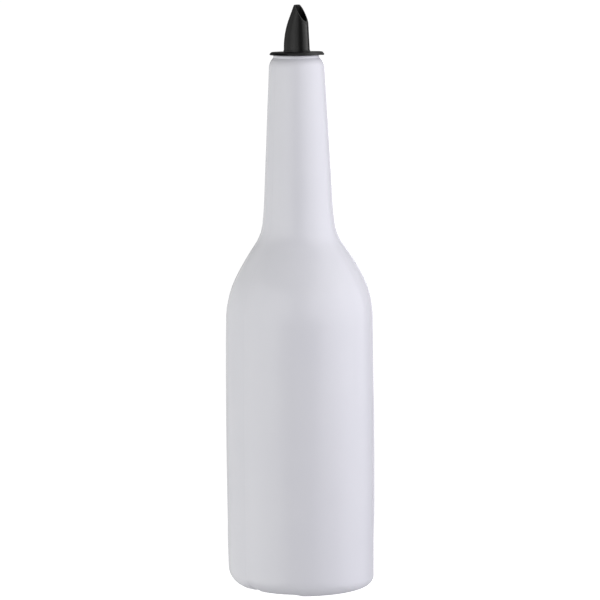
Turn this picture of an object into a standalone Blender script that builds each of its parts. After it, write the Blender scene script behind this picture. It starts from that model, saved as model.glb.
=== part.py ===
"""Flair bottle: a white one-piece moulded practice bottle with a black free-flow pourer pushed into its neck.

Metres, +Z up. The origin is the centre of the bottle's standing ring, and the bottle's axis is +Z.
The pourer is three pieces: the beaked spout with its collar and stem, the finned stopper that grips the
neck, and the breather tube that lets air back in. The spout pours towards +X turned by POUR_TURN.
"""

from math import cos, pi, radians, sin, tan

import bmesh
import bpy
from mathutils import Vector

MM = 0.001

# ---- bottle, outside (mm, degrees from vertical) ----
BODY_R = 38.1  # widest radius of the slightly barrelled body
BARREL_Z = 76.0  # height of that widest place
BARREL_RADIUS = 4000.0  # the body's side is an arc this large
SHOULDER_Z = 138.3  # where the shoulder starts to turn in
SHOULDER_ARCS = ((49.7, 28.5), (168.0, 34.5))  # (radius, tangent at its end), turning in
NECK_ROOT_ARCS = ((24.8, 6.9), (162.0, 2.83))  # the same, turning back to the neck
NECK_TOP_Z = 266.6  # the neck's straight taper ends here
NECK_ROUND_R = 6.8  # rounds the neck over towards the lip
NECK_ROUND_END = 43.0
LIP_R = 11.65
LIP_Z = 272.6  # the bottle's own height
LIP_LEDGE_Z = 271.3
LIP_ROUND = 0.35
HEEL_R = 7.0
HEEL_Z = 7.0
RING_IN_R = 27.0  # inner edge of the flat standing ring
PUSH_UP = 3.4  # height of the hollow under the base, at its centre

# ---- bottle, inside ----
WALL = 3.0
NECK_WALL_Z = 236.0  # above this the neck thickens to the bore that the stopper grips
BORE_R = 9.4
BORE_Z = 247.0
BORE_LEAD = 0.5  # chamfer at the mouth
FLOOR_Z = 4.6  # floor at the foot of the wall
FLOOR_RISE = 3.0  # the floor follows the push-up
FLOOR_ROUND = 5.0

# ---- pourer ----
SEAT_GAP = 0.3  # between the collar and the lip
COLLAR_UNDER_Z = LIP_Z + SEAT_GAP
COLLAR_UNDER_R = 12.9
COLLAR_EDGE_R = 13.85
COLLAR_EDGE_RISE = 0.15
COLLAR_EDGE_LAND = 0.35
COLLAR_TOP_R = 12.5
COLLAR_T = 1.4
COLLAR_TOP_Z = COLLAR_UNDER_Z + COLLAR_T
STEM_R = 6.0
STEM_BOTTOM_Z = 244.0
FOOT_R = 7.0  # low step round the spout's foot
FOOT_H = 0.9
SPOUT_R = 6.62
SPOUT_H = 23.9  # blunt tip above the collar
BACK_START = 1.85  # the beak's back starts to curve in this far above the collar
BACK_ARC_R = 39.9
BACK_ARC_TOP = 16.8  # above this the back runs on straight to the tip
FRONT_TAPER = 0.047  # the front draws in by this much for each mm of height
SIDE_TAPER = 0.051  # and each side by this much, so the tip stays broad
POUR_TURN = -18.0  # the way the spout faces, degrees from +X
CUT_TOP_H = 24.4  # the oblique mouth: its plane passes here on the axis
CUT_LOW_H = 13.85  # and here at the front
SPOUT_WALL = 0.8
CHANNEL_R = 3.9  # pouring channel in the stem
CHANNEL_X = 1.1
TUBE_X = -3.0
TUBE_R = 1.6
TUBE_BORE_R = 1.0
TUBE_SEAT_R = 1.9
TUBE_BOTTOM_Z = 212.0
TUBE_TOP_Z = 281.0

CORK_TOP_Z = 272.3
CORK_BOTTOM_Z = 246.0
CORK_BORE_R = STEM_R + 0.3
CORK_CORE_R = 7.6
CORK_FIN_R = 9.1
CORK_HEAD_H = 4.0  # plain band at the top
CORK_FINS = 5
FIN_ROOT_T = 2.0
FIN_EDGE_T = 0.8
FIN_LIFT = 0.8  # the fins' edges point up a little

BOTTLE_STEPS = 64
CORK_STEPS = 32
SPOUT_STEPS = 32
TUBE_STEPS = 16


def arc_points(start, tangent, radius, end, count, turning_in=True):
    """Points on an arc that leaves start at tangent degrees from vertical and ends at end degrees."""
    side = 1 if turning_in else -1
    a0, a1 = radians(tangent), radians(end)
    found = []
    for i in range(1, count + 1):
        a = a0 + (a1 - a0) * i / count
        x = start[0] - side * radius * (cos(a0) - cos(a))
        z = start[1] + side * radius * (sin(a) - sin(a0))
        found.append((x, z, a))
    return found


def barrel(z):
    """(radius, height, tangent) on the barrelled side of the body."""
    return BODY_R - (z - BARREL_Z) ** 2 / (2 * BARREL_RADIUS), z, (z - BARREL_Z) / BARREL_RADIUS


def side_points():
    """(radius, height, tangent) up the bottle's outside, from the top of the heel to the top of the neck."""
    points = [barrel(z) for z in (HEEL_Z, 40.0, BARREL_Z, 108.0, SHOULDER_Z)]
    counts = iter((5, 2, 4, 2))
    for arcs, turning_in in ((SHOULDER_ARCS, True), (NECK_ROOT_ARCS, False)):
        for radius, end in arcs:
            x, z, a = points[-1]
            points += arc_points((x, z), a * 180 / pi, radius, end, next(counts), turning_in)
    x, z, a = points[-1]
    points.append((x - (NECK_TOP_Z - z) * tan(a), NECK_TOP_Z, a))
    return points


def bottle_profile():
    """The half section, from the middle of the floor up the inside, over the lip and down the outside."""
    side = side_points()
    inner = [(x - WALL * cos(a), z - WALL * sin(a)) for x, z, a in side[1::2]]
    inner = [p for p in inner if 14.0 < p[1] < NECK_WALL_Z - 20.0]
    # the neck's inside runs parallel to its taper as far as NECK_WALL_Z
    x, z, a = side[-1]
    inner.append((x + (NECK_TOP_Z - NECK_WALL_Z) * tan(a) - WALL / cos(a), NECK_WALL_Z))
    foot_r = barrel(FLOOR_Z + FLOOR_ROUND)[0] - WALL
    floor = [(0.0, FLOOR_Z + FLOOR_RISE), (12.0, FLOOR_Z + FLOOR_RISE * 0.8), (24.0, FLOOR_Z + FLOOR_RISE * 0.2)]
    for i in range(4):
        t = pi / 2 * i / 3
        floor.append((foot_r - FLOOR_ROUND + FLOOR_ROUND * sin(t), FLOOR_Z + FLOOR_ROUND - FLOOR_ROUND * cos(t)))
    mouth = [
        (BORE_R, BORE_Z),
        (BORE_R, LIP_Z - BORE_LEAD),
        (BORE_R + BORE_LEAD, LIP_Z),
        (LIP_R - LIP_ROUND, LIP_Z),
        (LIP_R, LIP_Z - LIP_ROUND),
        (LIP_R, LIP_LEDGE_Z),
    ]
    rounded = arc_points(side[-1][:2], side[-1][2] * 180 / pi, NECK_ROUND_R, NECK_ROUND_END, 3)
    outside = [(p[0], p[1]) for p in reversed(side + rounded)]
    # heel, flat standing ring and the hollow under the base
    heel_r = barrel(HEEL_Z)[0]
    heel = []
    for i in range(1, 6):
        t = pi / 2 * i / 5
        heel.append((heel_r - HEEL_R + HEEL_R * cos(t), HEEL_Z - HEEL_Z * sin(t)))
    hollow = [(RING_IN_R, 0.0), (RING_IN_R - 1.5, PUSH_UP * 0.18), (16.0, PUSH_UP * 0.62), (8.0, PUSH_UP * 0.9), (0.0, PUSH_UP)]
    return floor + inner + mouth + outside + heel + hollow


def material(name, colour, roughness, metallic=0.0):
    made = bpy.data.materials.new(name)
    made.use_nodes = True
    shader = made.node_tree.nodes["Principled BSDF"]
    shader.inputs["Base Color"].default_value = (*colour, 1.0)
    shader.inputs["Roughness"].default_value = roughness
    shader.inputs["Metallic"].default_value = metallic
    made.diffuse_color = (*colour, 1.0)
    return made


def new_object(name, mesh, look=None, parent=None, turn=0.0):
    obj = bpy.data.objects.new(name, mesh)
    bpy.context.scene.collection.objects.link(obj)
    if look:
        mesh.materials.append(look)
    obj.parent = parent
    obj.rotation_euler = (0.0, 0.0, radians(turn))
    return obj


def finish_mesh(bm, name):
    """The bmesh as a mesh with its faces out, round surfaces smooth and real edges crisp."""
    bmesh.ops.recalc_face_normals(bm, faces=bm.faces)
    mesh = bpy.data.meshes.new(name)
    bm.to_mesh(mesh)
    bm.free()
    mesh.shade_smooth()
    mesh.set_sharp_from_angle(angle=radians(35))
    return mesh


def turned(name, profile, steps, look, closed=False, origin_z=0.0, parent=None):
    """A profile in (radius, height) mm spun about the Z axis."""
    bm = bmesh.new()
    points = [bm.verts.new((r * MM, 0.0, (z - origin_z) * MM)) for r, z in profile]
    edges = [bm.edges.new(pair) for pair in zip(points, points[1:])]
    if closed:
        edges.append(bm.edges.new((points[-1], points[0])))
    bmesh.ops.spin(
        bm, geom=points + edges, cent=(0, 0, 0), axis=(0, 0, 1), dvec=(0, 0, 0), angle=2 * pi, steps=steps, use_merge=True
    )
    # points on the axis were spun on the spot
    bmesh.ops.remove_doubles(bm, verts=bm.verts, dist=0.001 * MM)
    return new_object(name, finish_mesh(bm, name), look, parent)


def loft(name, rings, steps, look=None, parent=None, turn=0.0):
    """A closed skin over ovals: each ring is (centre x, half depth, half width, height) in mm, from the bottom up."""
    bm = bmesh.new()
    loops = []
    for cx, depth, width, z in rings:
        loop = [
            bm.verts.new(((cx + depth * cos(2 * pi * i / steps)) * MM, width * sin(2 * pi * i / steps) * MM, z * MM))
            for i in range(steps)
        ]
        loops.append(loop)
    for low, high in zip(loops, loops[1:]):
        for i in range(steps):
            j = (i + 1) % steps
            bm.faces.new((low[i], low[j], high[j], high[i]))
    bm.faces.new(list(reversed(loops[0])))
    bm.faces.new(loops[-1])
    return new_object(name, finish_mesh(bm, name), look, parent, turn=turn)


def cut(obj, cutter, title):
    """Takes the cutter out of the object and leaves the cutter as a wire guide."""
    cutter.hide_render = True
    cutter.display_type = "WIRE"
    boolean = obj.modifiers.new(title, "BOOLEAN")
    boolean.operation = "DIFFERENCE"
    boolean.solver = "EXACT"
    boolean.object = cutter


def back_r(h):
    """How far the beak's back stands behind the axis, h mm above the collar."""
    if h <= BACK_START:
        return SPOUT_R
    top = min(h, BACK_ARC_TOP)
    drop = BACK_ARC_R - (BACK_ARC_R**2 - (top - BACK_START) ** 2) ** 0.5
    slope = (BACK_ARC_TOP - BACK_START) / (BACK_ARC_R**2 - (BACK_ARC_TOP - BACK_START) ** 2) ** 0.5
    return SPOUT_R - drop - max(0.0, h - BACK_ARC_TOP) * slope


def front_r(h):
    """The same for its front, which is nearly upright."""
    return SPOUT_R - FRONT_TAPER * h


def beak_ring(h, inset=0.0):
    """The beak's oval at height h: it gets less deep towards the tip and keeps nearly its whole width."""
    front, back = front_r(h) - inset, back_r(h) - inset
    return (front - back) / 2, (front + back) / 2, SPOUT_R - SIDE_TAPER * h - inset, COLLAR_TOP_Z - LIP_Z + h


def spout_rings():
    """Rings up the outside of the pourer, with heights from the lip. Below the beak they are circles."""
    circles = [
        (STEM_R - 0.6, STEM_BOTTOM_Z),
        (STEM_R, STEM_BOTTOM_Z + 1.2),
        (STEM_R, COLLAR_UNDER_Z),
        (COLLAR_UNDER_R, COLLAR_UNDER_Z),
        (COLLAR_EDGE_R, COLLAR_UNDER_Z + COLLAR_EDGE_RISE),
        (COLLAR_EDGE_R, COLLAR_UNDER_Z + COLLAR_EDGE_RISE + COLLAR_EDGE_LAND),
        (COLLAR_TOP_R, COLLAR_TOP_Z),
        (FOOT_R, COLLAR_TOP_Z),
        (FOOT_R - 0.1, COLLAR_TOP_Z + FOOT_H - 0.2),
    ]
    rings = [(0.0, radius, radius, height - LIP_Z) for radius, height in circles]
    heights = [FOOT_H, 3.5, 5.5, 7.5, 9.5, 11.5, 13.5, 15.5, 17.5, 19.5, 21.5, 23.0, SPOUT_H]
    return rings + [beak_ring(h) for h in heights]


def channel_rings():
    """The beak's hollow, from below the collar to above the tip."""
    heights = [1.0, 3.5, 6.0, 8.5, 11.0, 13.5, 16.0, 18.5, 20.5, 22.0]
    rings = [(CHANNEL_X, CHANNEL_R - 0.02, CHANNEL_R - 0.02, COLLAR_UNDER_Z - 0.5 - LIP_Z)]
    rings += [beak_ring(h, SPOUT_WALL) for h in heights]
    # the hollow closes over just under the tip
    cx, depth, width, height = beak_ring(23.2, SPOUT_WALL)
    rings.append((cx + 0.3, depth * 0.85, width * 0.85, height))
    return rings


def main():
    for obj in list(bpy.data.objects):
        bpy.data.objects.remove(obj, do_unlink=True)

    white = material("bottle white plastic", (0.80, 0.80, 0.82), 0.38)
    black = material("pourer black plastic", (0.022, 0.022, 0.023), 0.36)
    cork_black = material("stopper black rubber", (0.03, 0.03, 0.03), 0.6)
    tube_grey = material("breather tube clear grey plastic", (0.55, 0.56, 0.57), 0.3)

    turned("bottle_body", bottle_profile(), BOTTLE_STEPS, white)

    # everything that lifts out of the neck hangs from this empty on the neck's axis
    axis = bpy.data.objects.new("pourer_axis", None)
    axis.empty_display_size = 0.02
    axis.location = (0.0, 0.0, LIP_Z * MM)
    bpy.context.scene.collection.objects.link(axis)

    # finned stopper: bottom of its bore, up the inside, and down over the fins
    fin_pitch = (CORK_TOP_Z - CORK_HEAD_H - CORK_BOTTOM_Z) / CORK_FINS
    outline = [
        (CORK_BORE_R, CORK_BOTTOM_Z),
        (CORK_BORE_R, CORK_TOP_Z),
        (CORK_FIN_R - 0.3, CORK_TOP_Z),
        (CORK_FIN_R, CORK_TOP_Z - 0.3),
        (CORK_FIN_R, CORK_TOP_Z - CORK_HEAD_H),
    ]
    for i in range(CORK_FINS):
        top = CORK_TOP_Z - CORK_HEAD_H - i * fin_pitch
        root = top - (fin_pitch - FIN_ROOT_T)
        if i:
            outline.append((CORK_CORE_R, top))
        else:
            outline.append((CORK_CORE_R, top - 0.5))
        outline += [
            (CORK_CORE_R, root),
            (CORK_FIN_R, root - FIN_ROOT_T / 2 + FIN_LIFT + FIN_EDGE_T / 2),
            (CORK_FIN_R, root - FIN_ROOT_T / 2 + FIN_LIFT - FIN_EDGE_T / 2),
        ]
    outline.append((CORK_CORE_R - 0.2, CORK_BOTTOM_Z))
    turned("pourer_cork", outline, CORK_STEPS, cork_black, closed=True, origin_z=LIP_Z, parent=axis)

    spout = loft("pourer_spout", spout_rings(), SPOUT_STEPS, black, axis, turn=POUR_TURN)

    channel = loft("cut_channel", channel_rings(), SPOUT_STEPS, parent=spout)
    cut(spout, channel, "Channel")

    stem_low = STEM_BOTTOM_Z - 1.0 - LIP_Z
    stem_bore = loft(
        "cut_stem_bore",
        [(CHANNEL_X, CHANNEL_R, CHANNEL_R, stem_low), (CHANNEL_X, CHANNEL_R, CHANNEL_R, COLLAR_TOP_Z + 0.7 - LIP_Z)],
        32,
        parent=spout,
    )
    cut(spout, stem_bore, "Stem bore")

    seat = loft(
        "cut_tube_seat",
        [(TUBE_X, TUBE_SEAT_R, TUBE_SEAT_R, stem_low), (TUBE_X, TUBE_SEAT_R, TUBE_SEAT_R, TUBE_TOP_Z + 0.5 - LIP_Z)],
        24,
        parent=spout,
    )
    cut(spout, seat, "Tube seat")

    # the oblique mouth: everything above a plane that falls from the tip to the front
    fall = (CUT_TOP_H - CUT_LOW_H) / front_r(CUT_LOW_H)
    bm = bmesh.new()
    reach, lift = 20.0, 30.0
    base_z = COLLAR_TOP_Z - LIP_Z + CUT_TOP_H
    corners = []
    for x in (-6.0, reach):
        for y in (-reach, reach):
            z = base_z - fall * x
            corners.append(bm.verts.new((x * MM, y * MM, z * MM)))
            corners.append(bm.verts.new((x * MM, y * MM, (base_z + lift) * MM)))
    bmesh.ops.convex_hull(bm, input=bm.verts)
    mouth = new_object("cut_mouth", finish_mesh(bm, "cut_mouth"), parent=spout)
    cut(spout, mouth, "Mouth")

    # breather tube, in its seat along the back of the stem
    length = TUBE_TOP_Z - TUBE_BOTTOM_Z
    ring = [(TUBE_BORE_R, 0.0), (TUBE_BORE_R, length), (TUBE_R, length), (TUBE_R, 0.0)]
    tube = turned("breather_tube", ring, TUBE_STEPS, tube_grey, closed=True, parent=spout)
    tube.location = Vector((TUBE_X, 0.0, TUBE_BOTTOM_Z - LIP_Z)) * MM


main()
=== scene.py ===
"""Looks of the flair bottle: a white moulded bottle with a black free-flow pourer, on a plain pale floor."""

from math import cos, degrees, exp, log, pi, radians, sin, sqrt, tan

import bpy
from mathutils import Matrix, Vector


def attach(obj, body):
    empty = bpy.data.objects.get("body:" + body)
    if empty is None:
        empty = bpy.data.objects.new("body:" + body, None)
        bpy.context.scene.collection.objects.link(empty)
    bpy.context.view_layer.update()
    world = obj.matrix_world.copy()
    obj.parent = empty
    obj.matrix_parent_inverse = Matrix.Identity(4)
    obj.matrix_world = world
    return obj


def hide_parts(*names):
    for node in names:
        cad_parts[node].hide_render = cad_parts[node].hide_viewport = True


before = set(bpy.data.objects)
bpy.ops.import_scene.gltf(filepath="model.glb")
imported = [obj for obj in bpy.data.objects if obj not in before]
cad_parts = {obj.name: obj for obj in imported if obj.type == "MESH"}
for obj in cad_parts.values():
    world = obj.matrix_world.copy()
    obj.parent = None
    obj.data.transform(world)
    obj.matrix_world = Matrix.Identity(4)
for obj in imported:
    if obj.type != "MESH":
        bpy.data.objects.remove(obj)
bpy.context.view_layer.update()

MM = 0.001

# ---------------------------------------------------------------- camera
LENS = 177.7
camera_data = bpy.data.cameras.new("camera")
camera_data.lens = LENS
camera_data.sensor_width = 36.0
camera_data.clip_start, camera_data.clip_end = 0.05, 60.0
camera = bpy.data.objects.new("camera", camera_data)
bpy.context.scene.collection.objects.link(camera)
camera.matrix_world = (
    Matrix.Translation((0.00046, -1.5, 0.355))
    @ Matrix.Rotation(radians(90.0 - 7.87), 4, "X")
    @ Matrix.Rotation(radians(-0.52), 4, "Z")
)
bpy.context.scene.camera = camera


# ---------------------------------------------------------------- mesh helpers
def smooth(a, b, x):
    t = min(1.0, max(0.0, (x - a) / (b - a)))
    return t * t * (3 - 2 * t)


def link(name, vertices, faces, crease=40.0):
    """A mesh object from points in mm."""
    mesh = bpy.data.meshes.new(name)
    mesh.from_pydata([(x * MM, y * MM, z * MM) for x, y, z in vertices], [], faces)
    mesh.validate()
    mesh.shade_smooth()
    mesh.set_sharp_from_angle(angle=radians(crease))
    obj = bpy.data.objects.new(name, mesh)
    bpy.context.scene.collection.objects.link(obj)
    return obj


def skin(name, columns, closed_rows=False, crease=40.0):
    """Skins columns of points that go once round an axis. Each column runs the same rows in the same order.
    With closed_rows the last row joins the first; without, the first and last rows are points on the axis."""
    vertices, faces = [], []
    n, rows = len(columns), len(columns[0])
    if closed_rows:
        for column in columns:
            vertices += column
        at = lambda c, r: (c % n) * rows + (r % rows)
        for c in range(n):
            for r in range(rows):
                faces.append((at(c, r), at(c + 1, r), at(c + 1, r + 1), at(c, r + 1)))
        return link(name, vertices, faces, crease)
    for column in columns:
        vertices += column[1:-1]
    inner = rows - 2
    first, last = len(vertices), len(vertices) + 1
    vertices += [columns[0][0], columns[0][-1]]
    at = lambda c, r: (c % n) * inner + r
    for c in range(n):
        faces.append((first, at(c + 1, 0), at(c, 0)))
        faces.append((last, at(c, inner - 1), at(c + 1, inner - 1)))
        for r in range(inner - 1):
            faces.append((at(c, r), at(c + 1, r), at(c + 1, r + 1), at(c, r + 1)))
    return link(name, vertices, faces, crease)


def arc(start, tangent, radius, end, count, side=1):
    """(r, z, tangent) on an arc that leaves start at tangent degrees from vertical and ends at end degrees."""
    a0, a1 = radians(tangent), radians(end)
    points = []
    for i in range(1, count + 1):
        a = a0 + (a1 - a0) * i / count
        points.append((start[0] - side * radius * (cos(a0) - cos(a)), start[1] + side * radius * (sin(a) - sin(a0)), a))
    return points


def fillet(corner, before, after, radius, count=4):
    """Points that round the corner between two straight runs of a profile, in (r, z)."""
    c = Vector(corner)
    u, v = (Vector(before) - c).normalized(), (Vector(after) - c).normalized()
    half = u.angle(v) / 2
    reach = radius / tan(half)
    centre = c + (u + v).normalized() * (radius / sin(half))
    p0, p1 = c + u * reach - centre, c + v * reach - centre
    sweep = p0.angle(p1)
    points = []
    for i in range(count + 1):
        t = i / count
        p = (p0 * sin((1 - t) * sweep) + p1 * sin(t * sweep)) / sin(sweep)
        points.append(tuple(centre + p))
    return points


# ---------------------------------------------------------------- the bottle
BODY_R, BARREL_Z, BARREL_RADIUS = 38.1, 76.0, 4000.0
SHOULDER_Z = 138.3
SHOULDER_ARCS = ((49.7, 28.5, 16), (168.0, 34.5, 5))
NECK_ROOT_ARCS = ((24.8, 6.9, 16), (162.0, 2.83, 6))
NECK_TOP_Z, NECK_ROUND_R, NECK_ROUND_END = 266.6, 6.8, 43.0
LIP_R, LIP_Z, LIP_LEDGE_Z = 11.65, 272.84, 271.5
RING_IN_R = 27.0
PUSH_UP = 3.4
WALL = 3.0
BORE_R, BORE_Z, NECK_WALL_Z = 9.4, 247.0, 236.0
FLOOR_Z, FLOOR_RISE, FLOOR_ROUND = 4.6, 3.0, 5.0

SEAM_AT = (radians(-138.0), radians(42.0))  # where the mould's two halves met
SEAM_H = 0.05  # height of the parting line, mm
SEAM_HALF = radians(0.75)


def barrel(z):
    return BODY_R - (z - BARREL_Z) ** 2 / (2 * BARREL_RADIUS), z, (z - BARREL_Z) / BARREL_RADIUS


def turn_from(angle, other):
    """The signed turn from other to angle, -pi to pi."""
    return (angle - other + pi) % (2 * pi) - pi


def heel_radius(angle):
    """The heel is tighter on one side than on the other, as the blown wall cooled."""
    tight = 3.5 * (0.5 + 0.5 * cos(turn_from(angle, radians(-12.0)))) ** 4
    return 7.4 - tight + 1.4 * (0.5 - 0.5 * cos(angle)) ** 8


def heel_stretch(angle):
    """Height by which the heel's curve is taller than it is wide, most on one side."""
    return 2.4 * (0.5 + 0.5 * cos(turn_from(angle, radians(-75.0)))) ** 8


def heel_lift(angle):
    """The mould halves met with a small step, which lifts the heel's foot on both sides of the parting line."""
    past = -degrees(turn_from(angle, SEAM_AT[0]))  # grows to the left of the seam
    right = 0.78 * (1 - smooth(41.0, 50.5, -past)) + 0.75 * (1 - smooth(3.0, 11.0, -past))
    left = 1.0 - 0.45 * smooth(2.0, 12.0, past) - 0.55 * smooth(30.0, 60.0, past)
    share = smooth(-0.6, 0.6, past)
    return right * (1 - share) + left * share


# The blown wall isn't quite true: height, drift of the ring to the right and extra radius there, mm.
UNEVEN = (
    (0, -0.05, 0.0), (10, -0.15, 0.0), (22, -0.25, 0.0), (34, -0.04, 0.0), (46, 0.0, 0.0), (60, 0.0, 0.0), (100, 0.0, 0.0),
    (118, 0.0, 0.0), (140, 0.12, 0.02), (150, 0.28, 0.12),
    (159, 0.37, 0.26), (168, 0.34, 0.37), (176, 0.18, 0.30), (184, 0.08, 0.20), (200, 0.05, 0.20), (225, -0.02, 0.20),
    (250, -0.11, 0.20), (262, -0.14, 0.20), (267, -0.20, 0.18), (270, -0.28, 0.08), (273, -0.36, 0.0),
)


def uneven(z):
    """(drift, extra radius) at a height, run smoothly through the table."""
    i = max(k for k in range(len(UNEVEN) - 1) if k == 0 or UNEVEN[k][0] <= z)
    z0, z1 = UNEVEN[i][0], UNEVEN[i + 1][0]
    t, values = (z - z0) / (z1 - z0), []
    for k in (1, 2):
        slope = lambda j: (UNEVEN[min(j + 1, len(UNEVEN) - 1)][k] - UNEVEN[max(j - 1, 0)][k]) / (
            UNEVEN[min(j + 1, len(UNEVEN) - 1)][0] - UNEVEN[max(j - 1, 0)][0]
        )
        a, b, m0, m1 = UNEVEN[i][k], UNEVEN[i + 1][k], slope(i) * (z1 - z0), slope(i + 1) * (z1 - z0)
        values.append(a + t * (m0 + t * (3 * (b - a) - 2 * m0 - m1 + t * (2 * (a - b) + m0 + m1))))
    return values


def side_rows():
    """(r, z, tangent) of the outside above the lower barrel."""
    rows = [barrel(40.0 + (SHOULDER_Z - 40.0) * i / 16) for i in range(17)]
    for arcs, side in ((SHOULDER_ARCS, 1), (NECK_ROOT_ARCS, -1)):
        for radius, end, count in arcs:
            x, z, a = rows[-1]
            rows += arc((x, z), degrees(a), radius, end, count, side)
    x, z, a = rows[-1]
    for i in range(1, 13):
        up = (NECK_TOP_Z - z) * i / 12
        rows.append((x - up * tan(a), z + up, a))
    x, z, a = rows[-1]
    rows += arc((x, z), degrees(a), NECK_ROUND_R, NECK_ROUND_END, 10)
    return rows


SIDE = side_rows()


def outside(angle):
    """(r, z, normal r, normal z) from the middle of the base up to the foot of the lip, at one angle round the bottle."""
    rows = []
    # hollow under the base: a shallow dish that turns down to the standing ring
    for i in range(1, 23):
        r = (RING_IN_R - 0.9) * i / 22
        z = PUSH_UP * (1 - (r / RING_IN_R) ** 2.2)
        rows.append((r, z, 0.0, -1.0))
    for i in range(1, 5):
        t = i / 4
        rows.append((RING_IN_R - 0.9 + 2.2 * t, 0.245 * (1 - t) ** 2, 0.0, -1.0))
    heel = heel_radius(angle)
    tall = heel + heel_stretch(angle)
    top_r = barrel(tall)[0]
    ring_out = top_r - heel
    for i in range(1, 4):
        rows.append((RING_IN_R + 1.3 + (ring_out - RING_IN_R - 1.3) * i / 3, 0.0, 0.0, -1.0))
    lift = heel_lift(angle)
    for i in range(1, 15):
        t = pi / 2 * i / 14
        out, down = tall * sin(t), heel * cos(t)
        long = (out * out + down * down) ** 0.5
        rows.append((ring_out + heel * sin(t), tall - tall * cos(t), out / long, -down / long))
    lifted = []
    for r, z, nr, nz in rows:
        share = smooth(RING_IN_R, RING_IN_R + 2.6, r) * (1 - smooth(2.0, heel * 1.6, z))
        lifted.append((r, z + lift * share, nr, nz))
    rows = lifted
    low = barrel(tall)[1]
    for i in range(1, 8):
        r, z, a = barrel(low + (40.0 - low) * i / 8)
        rows.append((r, z, cos(a), sin(a)))
    rows += [(r, z, cos(a), sin(a)) for r, z, a in SIDE]
    return rows


def mouth_rows():
    """(r, z) over the lip and down the bore."""
    rows = []
    foot = (SIDE[-1][0], SIDE[-1][1])
    ring_low = (LIP_R, LIP_LEDGE_Z)
    rows += fillet(ring_low, foot, (LIP_R, LIP_Z), 0.15, 2)
    rows += fillet((LIP_R, LIP_Z), (LIP_R, LIP_LEDGE_Z), (BORE_R, LIP_Z), 0.35, 5)
    rows += fillet((BORE_R, LIP_Z), (LIP_R, LIP_Z), (BORE_R, BORE_Z), 0.5, 5)
    rows += [(BORE_R, LIP_Z - 1.0 - (LIP_Z - 1.0 - BORE_Z) * i / 6) for i in range(1, 7)]
    return rows


def inside_rows():
    """(r, z) down the inside, from the foot of the bore to the middle of the floor."""
    rows = []
    x, z, a = SIDE[-11]  # the neck's straight top
    r_wall = x + (NECK_TOP_Z - NECK_WALL_Z) * tan(a) - WALL / cos(a)
    for i in range(1, 7):
        t = i / 6
        rows.append((BORE_R + (r_wall - BORE_R) * (t * t * (3 - 2 * t)), BORE_Z + (NECK_WALL_Z - BORE_Z) * t))
    inner = [(x - WALL * cos(a), z - WALL * sin(a)) for x, z, a in SIDE]
    rows += [p for p in reversed(inner) if 40.0 < p[1] < NECK_WALL_Z - 6.0]
    foot_z = FLOOR_Z + FLOOR_ROUND
    for i in range(7):
        z = 40.0 + (foot_z - 40.0) * i / 6
        rows.append((barrel(z)[0] - WALL, z))
    foot_r = barrel(foot_z)[0] - WALL
    for i in range(1, 9):
        t = pi / 2 * i / 8
        rows.append((foot_r - FLOOR_ROUND + FLOOR_ROUND * cos(t), foot_z - FLOOR_ROUND * sin(t)))
    edge = foot_r - FLOOR_ROUND
    for i in range(1, 13):
        r = edge * (1 - i / 12)
        rows.append((r, FLOOR_Z + FLOOR_RISE * (1 - smooth(0.0, edge, r))))
    return rows


def bottle_columns():
    angles = [2 * pi * i / 288 for i in range(288)]
    for seam in SEAM_AT:
        angles = [a for a in angles if abs(turn_from(a, seam)) > SEAM_HALF * 1.25]
        angles += [(seam + SEAM_HALF * k) % (2 * pi) for k in (-1.0, -0.55, -0.25, 0.0, 0.25, 0.55, 1.0)]
    angles.sort()
    mouth, inner = mouth_rows(), inside_rows()
    columns = []
    for angle in angles:
        off = min(abs(turn_from(angle, seam)) for seam in SEAM_AT)
        ridge = SEAM_H * (0.5 + 0.5 * cos(pi * min(1.0, off / SEAM_HALF)))
        column = [(0.0, 0.0, PUSH_UP + 0.0)]
        for r, z, nr, nz in outside(angle):
            if r < RING_IN_R + 2.0 and z < 8.0 and nz == -1.0:
                # the pinched-off seam across the hollow base
                away = r * sin(turn_from(angle, SEAM_AT[0]))
                z -= 0.55 * exp(-((away / 0.75) ** 2)) * (1 - smooth(19.0, 25.0, r))
                z = max(z, 0.0)
            elif nz > -0.95:
                fade = smooth(0.3, 3.0, z) * (1 - smooth(266.0, 270.5, z))
                r, z = r + nr * ridge * fade, z + nz * ridge * fade
            drift, more = uneven(z)
            share = smooth(0.0, RING_IN_R, r) if z < 8.0 else 1.0
            r += more * share
            column.append((r * cos(angle) + drift * share, r * sin(angle), z))
        for r, z in mouth:
            share = min(1.0, max(0.0, (r - BORE_R) / (LIP_R - BORE_R)))
            column.append((r * cos(angle) + uneven(z)[0] * share, r * sin(angle), z))
        for r, z in inner:
            column.append((r * cos(angle), r * sin(angle), z))
        columns.append(column)
    # the middle of the base lies on the pinched-off seam too
    for column in columns:
        column[0] = (0.0, 0.0, PUSH_UP - 0.55)
        column[-1] = (0.0, 0.0, column[-1][2])
    return columns


bottle = skin("bottle_shell", bottle_columns(), crease=38.0)

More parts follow.
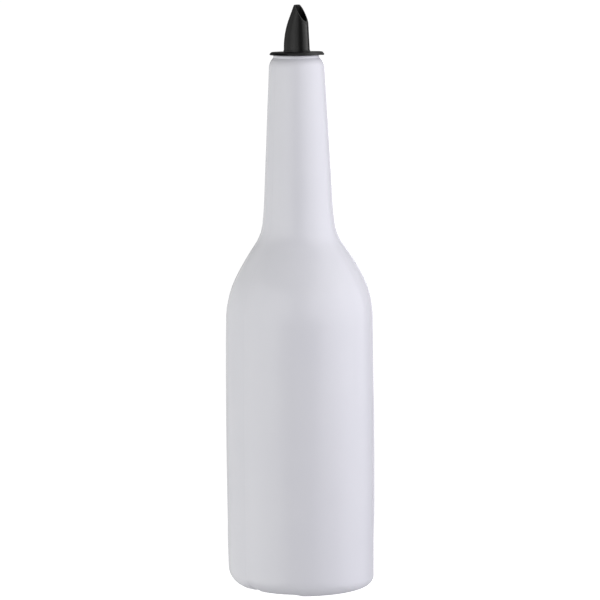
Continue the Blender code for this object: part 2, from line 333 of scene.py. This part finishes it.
# ---------------------------------------------------------------- the pourer's spout
POUR_TURN = radians(-18.0)
COLLAR_UNDER_Z, COLLAR_UNDER_R = 272.9, 12.9
COLLAR_EDGE_R, COLLAR_EDGE_RISE, COLLAR_EDGE_LAND = 13.85, 0.15, 0.35
COLLAR_TOP_R, COLLAR_TOP_Z = 12.9, 274.3
STEM_R, STEM_BOTTOM_Z = 6.0, 244.0
FOOT_R, FOOT_H = 6.85, 0.9
SPOUT_R, BACK_START, BACK_ARC_R, BACK_ARC_TOP = 6.62, 1.85, 39.9, 16.8
FRONT_TAPER, SIDE_TAPER = 0.047, 0.051
CUT_TOP_H, CUT_LOW_H, TIP_H = 24.4, 13.85, 23.75
SPOUT_WALL = 0.8
CHANNEL_R, CHANNEL_X = 3.9, 1.1
TUBE_X, TUBE_R, TUBE_BORE_R, TUBE_SEAT_R = -3.0, 1.6, 1.0, 1.9
TUBE_BOTTOM_Z, TUBE_TOP_Z = 212.0, 281.0


def back_r(h):
    if h <= BACK_START:
        return SPOUT_R
    top = min(h, BACK_ARC_TOP)
    drop = BACK_ARC_R - sqrt(BACK_ARC_R**2 - (top - BACK_START) ** 2)
    slope = (BACK_ARC_TOP - BACK_START) / sqrt(BACK_ARC_R**2 - (BACK_ARC_TOP - BACK_START) ** 2)
    return SPOUT_R - drop - max(0.0, h - BACK_ARC_TOP) * slope


def front_r(h):
    return SPOUT_R - FRONT_TAPER * h


FALL = (CUT_TOP_H - CUT_LOW_H) / front_r(CUT_LOW_H)


def beak_point(h, theta, inset):
    """A point on the beak's wall, h mm above the collar and theta round from the pouring side."""
    front, back = front_r(h) - inset, back_r(h) - inset
    width = SPOUT_R - SIDE_TAPER * h - inset
    return (front - back) / 2 + (front + back) / 2 * cos(theta), width * sin(theta)


def mouth_height(x, y):
    """The mouth is cut at a slant, with a short blunt flat at the tip that runs softly into it.
    The cut dips a little on one side."""
    slant, soft = CUT_TOP_H - FALL * x - 0.32 * exp(-(((x - 4.0) / 1.6) ** 2)) * smooth(0.5, 3.0, -y), 0.10
    low = min(slant, TIP_H)
    return low - soft * log(exp((low - slant) / soft) + exp((low - TIP_H) / soft))


def rim_height(theta, inset):
    """Where that column of the wall meets the oblique mouth."""
    low, high = 5.0, 30.0
    for _ in range(40):
        h = (low + high) / 2
        if h > mouth_height(*beak_point(h, theta, inset)):
            high = h
        else:
            low = h
    return (low + high) / 2


def keyhole(theta):
    """The hollow of the stem: the pouring channel and the seat of the breather tube run into each other."""
    far = 0.0
    for cx, radius in ((CHANNEL_X, CHANNEL_R), (TUBE_X, TUBE_SEAT_R)):
        d = -1.5 - cx
        far = max(far, -d * cos(theta) + sqrt(radius**2 - (d * sin(theta)) ** 2))
    return -1.5 + far * cos(theta), far * sin(theta)


def spout_column(theta):
    points = []
    ring = lambda r, z: points.append((r * cos(theta), r * sin(theta), z))
    # stem
    for r, z in ((STEM_R - 0.75, STEM_BOTTOM_Z), (STEM_R - 0.6, STEM_BOTTOM_Z + 0.12), (STEM_R, STEM_BOTTOM_Z + 1.2)):
        ring(r, z)
    for i in range(1, 9):
        ring(STEM_R, STEM_BOTTOM_Z + 1.2 + (COLLAR_UNDER_Z - 0.5 - STEM_BOTTOM_Z - 1.2) * i / 8)
    for r, z in fillet((STEM_R, COLLAR_UNDER_Z), (STEM_R, COLLAR_UNDER_Z - 2), (STEM_R + 3, COLLAR_UNDER_Z), 0.4, 3):
        ring(r, z)
    # collar: flat under the lip, a thin edge, and a sloped top
    ring(COLLAR_UNDER_R - 2.0, COLLAR_UNDER_Z)
    ring(COLLAR_UNDER_R - 0.9, COLLAR_UNDER_Z)
    under = (COLLAR_UNDER_R, COLLAR_UNDER_Z)
    edge_low = (COLLAR_EDGE_R, COLLAR_UNDER_Z + COLLAR_EDGE_RISE)
    edge_high = (COLLAR_EDGE_R, COLLAR_UNDER_Z + COLLAR_EDGE_RISE + COLLAR_EDGE_LAND)
    top_out, top_in = (COLLAR_TOP_R, COLLAR_TOP_Z), (FOOT_R, COLLAR_TOP_Z)
    for r, z in fillet(under, (COLLAR_UNDER_R - 2.0, COLLAR_UNDER_Z), edge_low, 1.5, 3):
        ring(r, z)
    edge_mid = (COLLAR_EDGE_R, (edge_low[1] + edge_high[1]) / 2)
    for r, z in fillet(edge_low, under, edge_mid, 0.09, 3) + fillet(edge_high, edge_mid, top_out, 0.09, 3):
        ring(r, z)
    for i in range(1, 4):
        t = i / 4
        ring(COLLAR_EDGE_R + (COLLAR_TOP_R - COLLAR_EDGE_R) * t, edge_high[1] + (COLLAR_TOP_Z - edge_high[1]) * t)
    for r, z in fillet(top_out, edge_high, top_in, 1.0, 5):
        ring(r, z)
    ring((COLLAR_TOP_R + FOOT_R) / 2, COLLAR_TOP_Z)
    # low step round the beak's foot
    foot_top = (FOOT_R - 0.1, COLLAR_TOP_Z + FOOT_H)
    for r, z in fillet(top_in, top_out, foot_top, 0.25, 3) + fillet(foot_top, top_in, (SPOUT_R, COLLAR_TOP_Z + FOOT_H), 0.14, 3):
        ring(r, z)
    # the beak's outside, up to the rounded rim
    high = rim_height(theta, 0.0)
    low_h = FOOT_H
    edge = 0.22
    for i in range(31):
        h = low_h + (high - edge - low_h) * (i / 30)
        x, y = beak_point(h, theta, 0.0)
        points.append((x, y, COLLAR_TOP_Z + h))
    # rim, cut at a slant and eased on both edges
    inner = rim_height(theta, SPOUT_WALL)
    a = Vector((*beak_point(high, theta, 0.0), COLLAR_TOP_Z + high))
    b = Vector((*beak_point(inner, theta, SPOUT_WALL), COLLAR_TOP_Z + inner))
    before = Vector(points[-1])
    across = (b - a).normalized()
    ease = 0.16
    for t in (0.35, 0.7):
        # a quarter turn from the wall over to the rim
        q = (1 - t) ** 2 * before + 2 * t * (1 - t) * a + t * t * (a + across * ease)
        points.append(tuple(q))
    points.append(tuple(a + across * ease))
    points.append(tuple((a + b) / 2))
    points.append(tuple(b - across * ease))
    inside_h = inner - 0.30
    start = Vector((*beak_point(inside_h, theta, SPOUT_WALL), COLLAR_TOP_Z + inside_h))
    for t in (0.35, 0.7):
        q = (1 - t) ** 2 * (b - across * ease) + 2 * t * (1 - t) * b + t * t * start
        points.append(tuple(q))
    # the hollow, down to the collar
    for i in range(25):
        h = inside_h + (1.2 - inside_h) * i / 24
        x, y = beak_point(h, theta, SPOUT_WALL)
        points.append((x, y, COLLAR_TOP_Z + h))
    wide = beak_point(1.2, theta, SPOUT_WALL)
    slot = keyhole(theta)
    for i in range(1, 6):
        t = i / 5
        s = t * t * (3 - 2 * t)
        points.append((wide[0] + (slot[0] - wide[0]) * s, wide[1] + (slot[1] - wide[1]) * s, COLLAR_TOP_Z + 1.2 - 3.6 * t))
    # stem's keyhole, down to its bottom face
    top_z = COLLAR_TOP_Z + 1.2 - 3.6
    for i in range(1, 9):
        points.append((*slot, top_z + (STEM_BOTTOM_Z + 0.15 - top_z) * i / 8))
    grow = 1.03
    points.append((-1.5 + (slot[0] + 1.5) * grow, slot[1] * grow, STEM_BOTTOM_Z))
    return points


def flange_lift(x, y, z):
    """The collar isn't quite even: it leans a little, and its rim is thicker on one side."""
    r, up = (x * x + y * y) ** 0.5, z - COLLAR_UNDER_Z
    if up < -0.8 or z > COLLAR_TOP_Z + 0.01:
        return 0.0
    lean = smooth(7.1, 9.0, r) * smooth(0.7, 1.2, up) * (0.013 * max(0.0, x) - 0.025 * max(0.0, y))
    rim = smooth(11.7, 12.9, r) * (1 - smooth(0.5, 0.8, abs(up)))
    low = rim * (1 - smooth(COLLAR_EDGE_RISE + 0.05, COLLAR_EDGE_RISE + COLLAR_EDGE_LAND - 0.05, up))
    near = 0.08 * smooth(3.0, 9.0, -y)
    if x > 0:
        return lean + low * (near - 0.005 * x - 0.20 * smooth(11.8, 13.85, x))
    return lean + rim * 0.014 * x + low * near


def spout_columns():
    columns = []
    for i in range(192):
        theta = 2 * pi * i / 192
        column = []
        for px, py, z in spout_column(theta):
            x, y = px * cos(POUR_TURN) - py * sin(POUR_TURN), px * sin(POUR_TURN) + py * cos(POUR_TURN)
            column.append((x, y, z + flange_lift(x, y, z)))
        columns.append(column)
    return columns


spout = skin("pourer_beak", spout_columns(), closed_rows=True, crease=32.0)

# ---------------------------------------------------------------- the stopper
CORK_TOP_Z, CORK_BOTTOM_Z = 272.3, 246.0
CORK_BORE_R, CORK_CORE_R, CORK_FIN_R = 6.3, 7.6, 9.1
CORK_HEAD_H, CORK_FINS = 4.0, 5
FIN_ROOT_T, FIN_EDGE_T, FIN_LIFT = 2.0, 0.8, 0.8


def turned_columns(outline, steps):
    return [[(r * cos(2 * pi * i / steps), r * sin(2 * pi * i / steps), z) for r, z in outline] for i in range(steps)]


def rounded(outline, radii, count=4):
    """A closed outline in (r, z) with its corners rounded where a radius is given."""
    points = []
    n = len(outline)
    for i, corner in enumerate(outline):
        if radii[i]:
            points += fillet(corner, outline[i - 1], outline[(i + 1) % n], radii[i], count)
        else:
            points.append(corner)
    return points


def cork_outline():
    pitch = (CORK_TOP_Z - CORK_HEAD_H - CORK_BOTTOM_Z) / CORK_FINS
    outline = [(CORK_BORE_R, CORK_BOTTOM_Z), (CORK_BORE_R, CORK_TOP_Z), (CORK_FIN_R, CORK_TOP_Z), (CORK_FIN_R, CORK_TOP_Z - CORK_HEAD_H)]
    radii = [0.25, 0.25, 0.45, 0.3]
    for i in range(CORK_FINS):
        top = CORK_TOP_Z - CORK_HEAD_H - i * pitch
        root = top - (pitch - FIN_ROOT_T)
        outline.append((CORK_CORE_R, top - (0.5 if i == 0 else 0.0)))
        outline += [
            (CORK_CORE_R, root),
            (CORK_FIN_R, root - FIN_ROOT_T / 2 + FIN_LIFT + FIN_EDGE_T / 2),
            (CORK_FIN_R, root - FIN_ROOT_T / 2 + FIN_LIFT - FIN_EDGE_T / 2),
        ]
        radii += [0.35, 0.35, 0.3, 0.3]
    outline.append((CORK_CORE_R - 0.2, CORK_BOTTOM_Z))
    radii.append(0.25)
    return list(reversed(rounded(outline, radii)))


cork = skin("ribbed_cork", turned_columns(cork_outline(), 120), closed_rows=True, crease=50.0)

# ---------------------------------------------------------------- the breather tube


def tube_columns():
    """A thin tube, its lower end trimmed at a slant."""
    columns = []
    tx, ty = TUBE_X * cos(POUR_TURN), TUBE_X * sin(POUR_TURN)
    steps = 56
    for i in range(steps):
        a = 2 * pi * i / steps
        slant = lambda r: 1.3 * (1 - r * cos(a + 0.6) / TUBE_R)
        column = []
        for r, dz in ((TUBE_R - 0.12, 0.0), (TUBE_R, 0.12)):
            column.append((r, TUBE_BOTTOM_Z + slant(r) + dz))
        column += [(TUBE_R, TUBE_BOTTOM_Z + 4 + (TUBE_TOP_Z - 0.12 - TUBE_BOTTOM_Z - 4) * k / 18) for k in range(19)]
        column += [(TUBE_R - 0.12, TUBE_TOP_Z), (TUBE_BORE_R + 0.12, TUBE_TOP_Z), (TUBE_BORE_R, TUBE_TOP_Z - 0.12)]
        column += [(TUBE_BORE_R, TUBE_TOP_Z - 4 - (TUBE_TOP_Z - 8 - TUBE_BOTTOM_Z) * k / 10) for k in range(11)]
        for r, dz in ((TUBE_BORE_R, 0.12), (TUBE_BORE_R + 0.12, 0.0)):
            column.append((r, TUBE_BOTTOM_Z + slant(r) + dz))
        columns.append([(tx + r * cos(a), ty + r * sin(a), z) for r, z in column])
    return columns


tube = skin("air_tube", tube_columns(), closed_rows=True, crease=40.0)


# ---------------------------------------------------------------- materials
class Nodes:
    """A material's nodes, made one line each."""

    def __init__(self, name):
        self.made = bpy.data.materials.new(name)
        self.made.use_nodes = True
        self.tree = self.made.node_tree
        self.shader = self.tree.nodes["Principled BSDF"]
        self.place = self.add("ShaderNodeTexCoord").outputs["Object"]

    def add(self, kind, **values):
        node = self.tree.nodes.new(kind)
        for key, value in values.items():
            setattr(node, key, value)
        return node

    def wire(self, source, target):
        self.tree.links.new(source, target)

    def noise(self, scale, detail=4.0, rough=0.5, distort=0.0, stretch=None):
        node = self.add("ShaderNodeTexNoise")
        node.inputs["Scale"].default_value = scale
        node.inputs["Detail"].default_value = detail
        node.inputs["Roughness"].default_value = rough
        node.inputs["Distortion"].default_value = distort
        where = self.place
        if stretch:
            mapping = self.add("ShaderNodeMapping")
            mapping.inputs["Scale"].default_value = stretch
            self.wire(self.place, mapping.inputs["Vector"])
            where = mapping.outputs["Vector"]
        self.wire(where, node.inputs["Vector"])
        return node.outputs["Fac"]

    def remap(self, source, low, high, to_low, to_high):
        node = self.add("ShaderNodeMapRange")
        node.clamp = True
        self.wire(source, node.inputs["Value"])
        for key, value in (("From Min", low), ("From Max", high), ("To Min", to_low), ("To Max", to_high)):
            node.inputs[key].default_value = value
        return node.outputs["Result"]

    def math(self, operation, a, b):
        node = self.add("ShaderNodeMath", operation=operation)
        for i, value in enumerate((a, b)):
            if isinstance(value, (int, float)):
                node.inputs[i].default_value = value
            else:
                self.wire(value, node.inputs[i])
        return node.outputs["Value"]

    def mix(self, factor, a, b):
        """Colours a and b mixed by factor."""
        node = self.add("ShaderNodeMix", data_type="RGBA")
        self.wire(factor, node.inputs["Factor"])
        for key, value in (("A", a), ("B", b)):
            socket = [s for s in node.inputs if s.name == key and s.type == "RGBA"][0]
            if isinstance(value, tuple):
                socket.default_value = (*value, 1.0)
            else:
                self.wire(value, socket)
        return [s for s in node.outputs if s.type == "RGBA"][0]

    def bump(self, height, distance, before=None, strength=1.0):
        node = self.add("ShaderNodeBump")
        node.inputs["Strength"].default_value = strength
        node.inputs["Distance"].default_value = distance
        self.wire(height, node.inputs["Height"])
        if before is not None:
            self.wire(before, node.inputs["Normal"])
        return node.outputs["Normal"]

    def height(self):
        """The height over the floor, in metres."""
        split = self.add("ShaderNodeSeparateXYZ")
        self.wire(self.place, split.inputs["Vector"])
        return split.outputs["Z"]


def white_plastic():
    m = Nodes("moulded white plastic")
    cloud = m.noise(26.0, 3.0, 0.45)
    tint = m.mix(m.remap(cloud, 0.35, 0.65, 0.0, 1.0), (0.802, 0.804, 0.846), (0.788, 0.791, 0.836))
    # faint rubs from handling: long thin patches that only change the gloss, more of them low on the body
    rubs = m.noise(70.0, 3.0, 0.5, 0.0, (1.0, 1.0, 0.2))
    rubbed = m.remap(rubs, 0.45, 0.80, 0.0, 1.0)
    low = m.remap(m.height(), 0.0, 0.15, 1.0, 0.4)
    worn = m.math("MULTIPLY", rubbed, low)
    m.wire(tint, m.shader.inputs["Base Color"])
    m.wire(m.math("ADD", m.remap(cloud, 0.3, 0.7, 0.215, 0.240), m.math("MULTIPLY", worn, 0.020)), m.shader.inputs["Roughness"])
    wave = m.bump(m.noise(45.0, 1.5, 0.45), 0.00030)
    ripple = m.bump(m.noise(150.0, 2.0, 0.5), 0.00004, wave)
    peel = m.bump(m.noise(900.0, 3.0, 0.55), 0.000012, ripple)
    grain = m.bump(m.noise(4200.0, 2.0, 0.5), 0.0000025, peel)
    m.wire(grain, m.shader.inputs["Normal"])
    m.shader.inputs["IOR"].default_value = 1.50
    return m.made


def black_plastic():
    m = Nodes("moulded black plastic")
    cloud = m.noise(220.0, 4.0, 0.5)
    tint = m.mix(m.remap(cloud, 0.35, 0.65, 0.0, 1.0), (0.0100, 0.0100, 0.0104), (0.0135, 0.0135, 0.0140))
    m.wire(tint, m.shader.inputs["Base Color"])
    handling = m.remap(m.noise(520.0, 6.0, 0.65, 0.5, (1.0, 1.0, 0.3)), 0.52, 0.70, 0.0, 0.06)
    m.wire(m.math("ADD", m.remap(cloud, 0.3, 0.7, 0.285, 0.33), handling), m.shader.inputs["Roughness"])
    grain = m.bump(m.noise(2600.0, 3.0, 0.6), 0.000010)
    flow = m.bump(m.noise(420.0, 2.0, 0.5, 0.0, (1.0, 1.0, 0.35)), 0.000035, grain)
    m.wire(flow, m.shader.inputs["Normal"])
    m.shader.inputs["IOR"].default_value = 1.50
    return m.made


def black_rubber():
    m = Nodes("flexible black stopper")
    cloud = m.noise(300.0, 5.0, 0.6)
    tint = m.mix(m.remap(cloud, 0.3, 0.7, 0.0, 1.0), (0.020, 0.020, 0.021), (0.034, 0.034, 0.035))
    bloom = m.remap(m.noise(900.0, 6.0, 0.7, 0.3), 0.55, 0.75, 0.0, 0.5)
    m.wire(m.mix(bloom, tint, (0.060, 0.060, 0.062)), m.shader.inputs["Base Color"])
    m.wire(m.remap(cloud, 0.25, 0.75, 0.58, 0.72), m.shader.inputs["Roughness"])
    m.wire(m.bump(m.noise(1800.0, 5.0, 0.65), 0.00003), m.shader.inputs["Normal"])
    return m.made


def grey_tube():
    m = Nodes("milky grey tube")
    cloud = m.noise(180.0, 3.0, 0.5, 0.0, (1.0, 1.0, 0.25))
    m.wire(m.mix(m.remap(cloud, 0.3, 0.7, 0.0, 1.0), (0.60, 0.615, 0.63), (0.68, 0.69, 0.70)), m.shader.inputs["Base Color"])
    m.wire(m.remap(cloud, 0.3, 0.7, 0.285, 0.35), m.shader.inputs["Roughness"])
    # drawn lines along the tube
    m.wire(m.bump(m.noise(1500.0, 2.0, 0.5, 0.0, (1.0, 1.0, 0.03)), 0.00001), m.shader.inputs["Normal"])
    m.shader.inputs["Transmission Weight"].default_value = 0.35
    m.shader.inputs["IOR"].default_value = 1.49
    return m.made


FLOOR_SHINE = 0.90  # the floor is a light table that shines by itself, and the wash above adds the rest


def floor_look():
    m = Nodes("pale studio floor")
    cloud = m.noise(3.0, 3.0, 0.5)
    m.wire(m.mix(m.remap(cloud, 0.3, 0.7, 0.0, 1.0), (0.90, 0.90, 0.90), (0.915, 0.915, 0.915)), m.shader.inputs["Base Color"])
    m.shader.inputs["Roughness"].default_value = 0.9
    m.shader.inputs["Specular IOR Level"].default_value = 0.1
    m.shader.inputs["Emission Color"].default_value = (1.0, 1.0, 1.0, 1.0)
    m.shader.inputs["Emission Strength"].default_value = FLOOR_SHINE
    return m.made


for piece, look, body, node, slot in (
    (bottle, white_plastic(), "bottle", "bottle_body", "bottle_white_plastic"),
    (spout, black_plastic(), "spout", "pourer_spout", "pourer_black_plastic"),
    (cork, black_rubber(), "stopper", "pourer_cork", "stopper_black_rubber"),
    (tube, grey_tube(), "spout", "breather_tube", "tube_grey_plastic"),
):
    piece.data.materials.append(look)
    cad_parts[node].data.materials.clear()
    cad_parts[node].data.materials.append(look)
    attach(piece, body)
    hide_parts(node)

# ---------------------------------------------------------------- floor, light
FLOOR_HALF = 9.0


def pale_cove():
    """The studio's far wall, a plain pale ring that only the camera sees."""
    steps, rows = 48, ((FLOOR_HALF - 0.4, -0.01), (FLOOR_HALF - 0.1, 0.6), (FLOOR_HALF, 1.6), (FLOOR_HALF, 5.0))
    vertices = [(1000 * r * cos(2 * pi * i / steps), 1000 * r * sin(2 * pi * i / steps), 1000 * z) for i in range(steps) for r, z in rows]
    n = len(rows)
    faces = [
        (i * n + k, ((i + 1) % steps) * n + k, ((i + 1) % steps) * n + k + 1, i * n + k + 1) for i in range(steps) for k in range(n - 1)
    ]
    obj = link("cove", vertices, faces)
    obj.data.materials.append(glow("pale cove", 1.0))
    seen_by_camera_only(obj)
    return obj


def seen_by_camera_only(obj):
    obj.visible_diffuse = obj.visible_glossy = obj.visible_transmission = obj.visible_shadow = False


def glow(name, strength):
    made = bpy.data.materials.new(name)
    made.use_nodes = True
    shader = made.node_tree.nodes["Principled BSDF"]
    shader.inputs["Base Color"].default_value = (0.0, 0.0, 0.0, 1.0)
    shader.inputs["Specular IOR Level"].default_value = 0.0
    shader.inputs["Emission Color"].default_value = (1.0, 1.0, 1.0, 1.0)
    shader.inputs["Emission Strength"].default_value = strength
    return made


def disc(name, radius):
    steps = 96
    rings = [radius * (k / 12) ** 2 for k in range(1, 13)]
    vertices = [(0.0, 0.0, 0.0)] + [
        (1000 * r * cos(2 * pi * i / steps), 1000 * r * sin(2 * pi * i / steps), 0.0) for r in rings for i in range(steps)
    ]
    faces = [(0, 1 + i, 1 + (i + 1) % steps) for i in range(steps)]
    for k in range(11):
        for i in range(steps):
            j = (i + 1) % steps
            faces.append((1 + k * steps + i, 1 + (k + 1) * steps + i, 1 + (k + 1) * steps + j, 1 + k * steps + j))
    return link(name, vertices, faces)


floor = disc("floor", FLOOR_HALF)
floor.data.materials.append(floor_look())
seen_by_camera_only(floor)  # the panels below light the bottle instead
pale_cove()

world = bpy.data.worlds.new("studio")
bpy.context.scene.world = world
world.use_nodes = True
world.node_tree.nodes["Background"].inputs["Color"].default_value = (1.0, 1.0, 1.0, 1.0)
world.node_tree.nodes["Background"].inputs["Strength"].default_value = 0.0


def receivers(name, *objects):
    """A group of objects for a lamp to light."""
    group = bpy.data.collections.new(name)
    bpy.context.scene.collection.children.link(group)
    for obj in objects:
        group.objects.link(obj)
    return group


FLOOR_GROUP = receivers("lit floor", floor)
BOTTLE_GROUP = receivers("lit bottle", bottle, tube)
POURER_GROUP = receivers("lit pourer", spout, cork)


def lamp(name, kind, place, aim, energy, colour, group, **values):
    data = bpy.data.lights.new(name, kind)
    data.energy = energy
    data.color = colour
    for key, value in values.items():
        setattr(data, key, value)
    obj = bpy.data.objects.new(name, data)
    bpy.context.scene.collection.objects.link(obj)
    obj.location = place
    obj.rotation_euler = (Vector(aim) - Vector(place)).to_track_quat("-Z", "Y").to_euler()
    obj.visible_camera = False
    obj.light_linking.receiver_collection = group
    return obj


PANELS_AT = 1.2  # distance of the panels from the bottle's axis


def panel(name, turns, heights, radiance, colour, group):
    """A soft upright panel between two turns round the bottle (0 is the camera's side, to the right is positive)
    and two heights. Some panels reach below the floor, which only the camera sees."""
    middle, half = radians(sum(turns) / 2), radians((turns[1] - turns[0]) / 2)
    far = PANELS_AT * cos(half)
    wide, tall = 2 * PANELS_AT * sin(half), heights[1] - heights[0]
    z = sum(heights) / 2
    return lamp(
        name, "AREA", (far * sin(middle), -far * cos(middle), z), (0.0, 0.0, z), radiance * pi * wide * tall, colour, group,
        shape="RECTANGLE", size=wide, size_y=tall,
    )


def flat_panel(name, height, side, radiance, colour, group, up=False, centre=(0.0, 0.01)):
    """A level square panel over the bottle, shining down, or one under it, shining up."""
    aim = (*centre, height + 1.0 if up else height - 1.0)
    return lamp(name, "AREA", (*centre, height), aim, radiance * pi * side * side, colour, group, shape="SQUARE", size=side)


def floor_wash(height, radiance):
    """Light on the floor alone. The bottle only throws a faint soft shadow in it."""
    side = 18.0
    return lamp(
        "floor wash", "AREA", (0.0, 0.0, height), (0.0, 0.0, 0.0), radiance * pi * side * side, (1.0, 1.0, 1.0), FLOOR_GROUP,
        shape="SQUARE", size=side,
    )


floor_wash(0.5, 0.17)

# The studio round the object: spans of turn, then the radiance of each tier of panels from the lowest up.
# The right side is brighter than the left and a touch bluer.
LEFT_COLOUR, RIGHT_COLOUR, TOP_COLOUR = (1.0, 1.0, 0.993), (1.01, 1.0, 1.05), (1.0, 1.0, 0.95)
SIDE_TIERS = ((-0.9, -0.1), (-0.1, 0.35), (0.35, 0.9), (0.9, 1.7))
BOTTLE_SIDES = (
    (-180, -165, 0.70, 0.80, 0.10, 0.0),
    (-165, -150, 0.55, 0.65, 0.10, 0.0),
    (-150, -120, 0.68, 0.69, 0.48, 0.0),
    (-120, -90, 0.79, 0.80, 0.52, 0.14),
    (-90, -60, 1.53, 1.40, 1.13, 0.14),
    (-60, -35, 1.27, 1.66, 1.45, 0.20),
    (35, 60, 0.59, 1.92, 1.71, 1.21),
    (60, 90, 1.05, 2.04, 2.02, 1.35),
    (90, 120, 0.74, 1.39, 1.32, 1.05),
    (120, 150, 0.25, 0.31, 0.38, 0.17),
    (150, 165, 0.45, 0.60, 0.20, 0.0),
    (165, 180, 1.40, 1.90, 0.80, 0.0),
)
# The camera's side is dark at the height that the upright wall mirrors, between two soft panels.
FRONT_TIERS = ((-0.9, -0.5), (-0.5, 0.15), (0.15, 0.9), (0.9, 1.7))
BOTTLE_FRONT = (
    (-35, -15, 0.15, 0.0, 1.25, 0.0),
    (-15, 15, 0.13, 0.0, 0.39, 0.0),
    (15, 35, 0.0, 0.0, 1.44, 0.32),
    (-35, -25, 0.0, 0.85, 0.0, 0.0),
    (-25, -20, 0.0, 0.45, 0.0, 0.0),
    (-20, -15, 0.0, 0.15, 0.0, 0.0),
    (-15, 5, 0.0, 0.12, 0.0, 0.0),
    (15, 25, 0.0, 0.06, 0.0, 0.0),
    (25, 30, 0.0, 0.46, 0.0, 0.0),
    (30, 35, 0.0, 0.61, 0.0, 0.0),
)
POURER_SIDES = (
    (-180, -150, 0.0, 0.35, 0.10, 0.17),
    (-150, -120, 0.0, 0.20, 0.10, 0.0),
    (-120, -90, 0.0, 0.53, 0.46, 0.0),
    (-90, -60, 0.0, 0.56, 0.53, 0.0),
    (-60, -35, 0.0, 1.20, 0.75, 0.0),
    (35, 60, 0.0, 0.18, 0.0, 0.0),
    (60, 90, 0.0, 1.40, 0.46, 0.0),
    (90, 120, 0.0, 2.09, 0.54, 0.0),
    (120, 150, 0.0, 0.0, 0.40, 0.42),
    (150, 165, 0.0, 0.20, 0.30, 0.26),
    (165, 180, 0.0, 0.60, 0.20, 0.0),
)
POURER_FRONT = (
    (-35, -15, 0.0, 0.0, 1.22, 0.0),
    (-15, 15, 0.0, 0.0, 0.92, 0.0),
    (15, 35, 0.0, 0.0, 0.12, 0.0),
)
for part, group, tiers, table in (
    ("bottle side", BOTTLE_GROUP, SIDE_TIERS, BOTTLE_SIDES),
    ("bottle front", BOTTLE_GROUP, FRONT_TIERS, BOTTLE_FRONT),
    ("pourer side", POURER_GROUP, SIDE_TIERS, POURER_SIDES),
    ("pourer front", POURER_GROUP, FRONT_TIERS, POURER_FRONT),
):
    for start, end, *levels in table:
        for level, (heights, radiance) in enumerate(zip(tiers, levels)):
            if radiance:
                colour = RIGHT_COLOUR if start >= 15 and group == BOTTLE_GROUP else LEFT_COLOUR
                panel(f"{part} {start} {level}", (start, end), heights, radiance, colour, group)
flat_panel("bottle top", 1.75, 1.2, 1.26, TOP_COLOUR, BOTTLE_GROUP)
flat_panel("bottle low", -0.5, 1.2, 0.32, RIGHT_COLOUR, BOTTLE_GROUP, up=True)
flat_panel("pourer top", 1.75, 1.2, 0.45, LEFT_COLOUR, POURER_GROUP)
flat_panel("pourer top right", 1.75, 1.4, 1.30, LEFT_COLOUR, POURER_GROUP, centre=(1.1, 0.45))

view = bpy.context.scene.view_settings
view.view_transform = "Standard"
view.look = "None"
view.exposure = 0.0
view.gamma = 1.0
